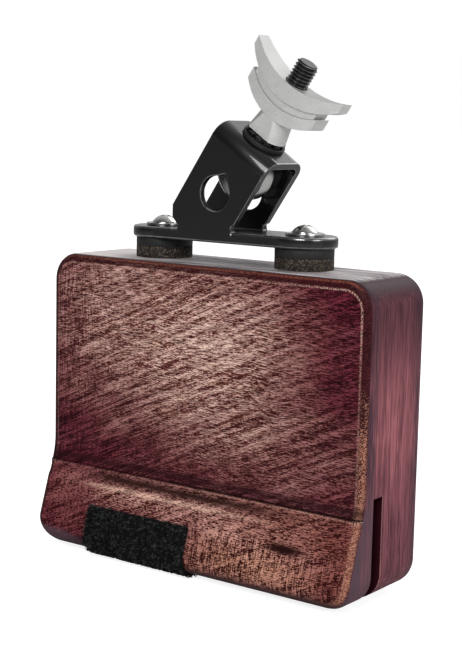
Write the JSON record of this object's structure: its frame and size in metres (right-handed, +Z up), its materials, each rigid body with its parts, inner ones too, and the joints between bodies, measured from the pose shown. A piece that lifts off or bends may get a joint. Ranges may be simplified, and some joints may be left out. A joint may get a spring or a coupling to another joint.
{
  "type": "clamp-mounted woodblock",
  "caption": "Slotted hardwood percussion block with a flared playing lip, on a leaning steel bracket with an eye-bolt rod clamp and wing nut.",
  "frame": {"origin": "middle of the bounding box in plan, at the level of the underside of the pad under the lip", "axes": "+X along the block toward the end that the stirrup leans to, +Y from the lip side to the plain rear face, +Z up from the block to the clamp"},
  "size_m": [0.138, 0.0479, 0.1888],
  "materials": {
    "stained_wood": "burgundy stain, brushed and rubbed through at the edges, satin lacquer",
    "loop_fabric": "black looped pile",
    "cork_rubber": "speckled cork granules bound in rubber",
    "black_rubber": "matt black",
    "black_paint": "gloss black paint on folded steel",
    "bright_zinc": "bright zinc plating on steel",
    "black_steel": "black oxide on steel",
    "satin_casting": "satin light grey casting"
  },
  "bodies": {
    "block": {"wood_block": "stained_wood", "loop_pad": "loop_fabric", "left_cork_pad": "cork_rubber", "right_cork_pad": "cork_rubber", "left_rubber_washer": "black_rubber", "right_rubber_washer": "black_rubber", "mount_bracket": "black_paint", "left_screw": "bright_zinc", "right_screw": "bright_zinc", "left_screw_washer": "bright_zinc", "right_screw_washer": "bright_zinc", "seat_washer": "black_rubber", "lock_washer": "black_steel"},
    "wing": {"wing_nut": "satin_casting", "wing_cap": "satin_casting"},
    "eye_bolt": {"clamp_eye": "bright_zinc", "threaded_stud": "black_steel"}
  },
  "joints": [
    {"name": "wing_turn", "type": "hinge", "parent": "block", "child": "wing", "pos_m": [0, 0.00545, 0.1345], "axis": [0.5592, 0, 0.829], "range_deg": [0, 2664]},
    {"name": "eye_slide", "type": "slide", "parent": "block", "child": "eye_bolt", "axis": [-0.5592, 0, -0.829], "range_m": [0, 0.00925]}
  ],
  "couplings": [
    {"joint": "eye_slide", "follows": "wing_turn", "m_per_rad": 0.00019894}
  ]
}
